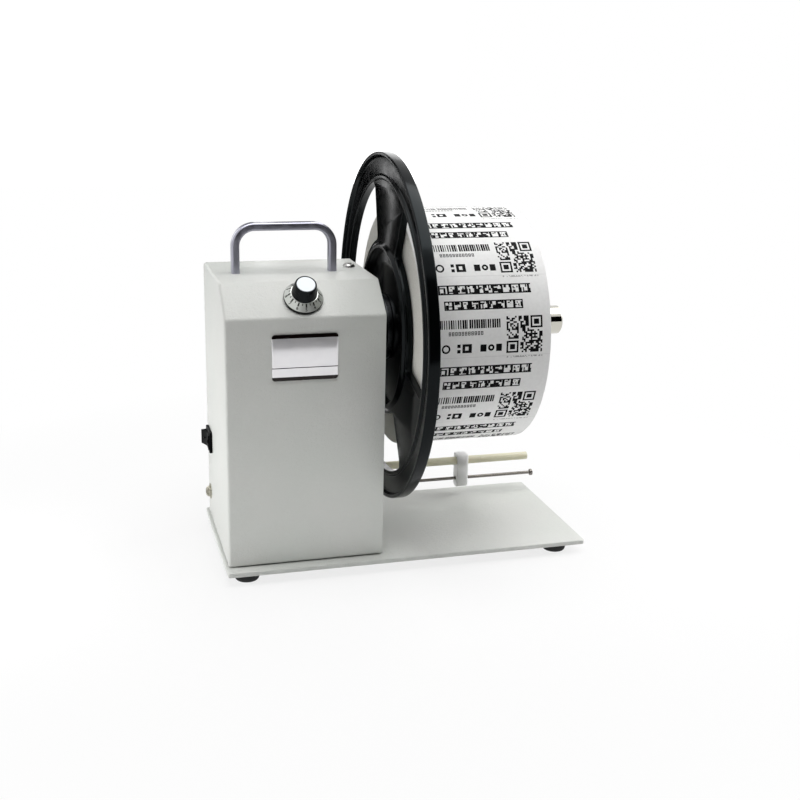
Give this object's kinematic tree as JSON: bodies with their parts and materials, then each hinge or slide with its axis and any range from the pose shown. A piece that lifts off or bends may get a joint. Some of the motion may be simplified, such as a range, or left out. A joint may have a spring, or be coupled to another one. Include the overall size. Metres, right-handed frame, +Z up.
{
  "type": "label rewinder",
  "caption": "Motor-driven bench label rewinder: folded steel case, spoked flange wheel and label roll on a spindle, guide rods over a base plate.",
  "frame": {"origin": "centre of the bounding box's underside, on the plane that the feet stand on", "axes": "+X along the spindle away from the case, -Y towards the operator's knob and name plate, +Z up"},
  "size_m": [0.2528, 0.2316, 0.2691],
  "materials": {
    "powder_coat": "fine light grey powder coat",
    "rubber": "matt black rubber",
    "zinc_steel": "zinc-plated steel",
    "satin_steel": "satin nickel",
    "chrome": "polished chrome",
    "black_plastic": "glossy black moulded plastic",
    "aluminium": "turned aluminium",
    "plate_face": "printed thin plate, pale field with two dark bands",
    "paper": null,
    "card": "brown card tube",
    "brass": "cut brass",
    "cream_plastic": "cream plastic sleeve",
    "milky_plastic": "milky white plastic",
    "board": "green circuit board"
  },
  "bodies": {
    "machine": {"base_plate": "powder_coat", "bracket_screw": "zinc_steel", "carry_handle": "satin_steel", "case_cover": "powder_coat", "control_board": "board", "cover_screw_left": "zinc_steel", "cover_screw_rear": "zinc_steel", "cover_screw_top": "zinc_steel", "dc_inlet": "black_plastic", "foot_front_left": "rubber", "foot_front_right": "rubber", "foot_rear_left": "rubber", "foot_rear_right": "rubber", "foot_screw_front_left": "zinc_steel", "foot_screw_front_right": "zinc_steel", "foot_screw_rear_left": "zinc_steel", "foot_screw_rear_right": "zinc_steel", "front_bearing": "zinc_steel", "gearbox_cover": "satin_steel", "gearbox_housing": "satin_steel", "gearbox_screw_1": "zinc_steel", "gearbox_screw_2": "zinc_steel", "guide_rod": "cream_plastic", "handle_screw_left": "zinc_steel", "handle_screw_right": "zinc_steel", "idler_pin": "zinc_steel", "motor_can": "zinc_steel", "motor_end_cap": "black_plastic", "name_plate": "plate_face", "potentiometer": "zinc_steel", "rear_bearing": "zinc_steel", "rod_bracket": "zinc_steel", "sensor_switch": "black_plastic", "side_plate": "powder_coat", "side_plate_screw_front": "zinc_steel", "side_plate_screw_rear": "zinc_steel", "switch_body": "black_plastic"},
    "spindle_set": {"spindle": "chrome", "flange_wheel": "black_plastic", "hub_collar": "aluminium", "collar_set_screw": "zinc_steel", "wheel_screw_1": "zinc_steel", "wheel_screw_2": "zinc_steel", "wheel_screw_3": "zinc_steel", "output_gear": "brass"},
    "idler": {"idler_gear": "zinc_steel"},
    "motor_rotor": {"motor_pinion": "brass"},
    "roll": {"core_adapter": "black_plastic", "paper_core": "card", "label_roll": "paper"},
    "knob": {"dial_skirt": "aluminium", "knob_body": "black_plastic", "knob_cap": "aluminium", "pot_shaft": "zinc_steel"},
    "rocker": {"switch_rocker": "black_plastic"},
    "arm": {"swing_arm": "satin_steel", "tension_rod": "chrome", "rod_end_cap": "chrome"},
    "edge_guide": {"guide_block": "milky_plastic"}
  },
  "joints": [
    {"name": "spindle_spin", "type": "hinge", "parent": "machine", "child": "spindle_set", "pos_m": [-0.02087, 0, 0.1533], "axis": [1, 0, 0], "continuous": true},
    {"name": "idler_spin", "type": "hinge", "parent": "machine", "child": "idler", "pos_m": [-0.03587, 0, 0.1213], "axis": [1, 0, 0], "continuous": true},
    {"name": "motor_spin", "type": "hinge", "parent": "machine", "child": "motor_rotor", "pos_m": [-0.06087, 0, 0.0973], "axis": [1, 0, 0], "continuous": true},
    {"name": "roll_slide", "type": "slide", "parent": "spindle_set", "child": "roll", "axis": [1, 0, 0], "range_m": [0, 0.125]},
    {"name": "knob_turn", "type": "hinge", "parent": "machine", "child": "knob", "pos_m": [-0.06987, -0.0392, 0.1821], "axis": [0, -0.6429, 0.766], "range_deg": [-150, 150]},
    {"name": "rocker_tilt", "type": "hinge", "parent": "machine", "child": "rocker", "pos_m": [-0.12087, 0.0356, 0.0698], "axis": [0, 0, -1], "range_deg": [0, 18]},
    {"name": "tension_arm_swing", "type": "hinge", "parent": "machine", "child": "arm", "pos_m": [-0.01587, 0.0456, 0.0365], "axis": [1, 0, 0], "range_deg": [-30, 30]},
    {"name": "edge_guide_slide", "type": "slide", "parent": "arm", "child": "edge_guide", "axis": [1, 0, 0], "range_m": [-0.064, 0.046]}
  ],
  "couplings": [
    {"joint": "idler_spin", "follows": "spindle_spin", "ratio": -3.5714},
    {"joint": "motor_spin", "follows": "spindle_spin", "ratio": 14.286}
  ]
}
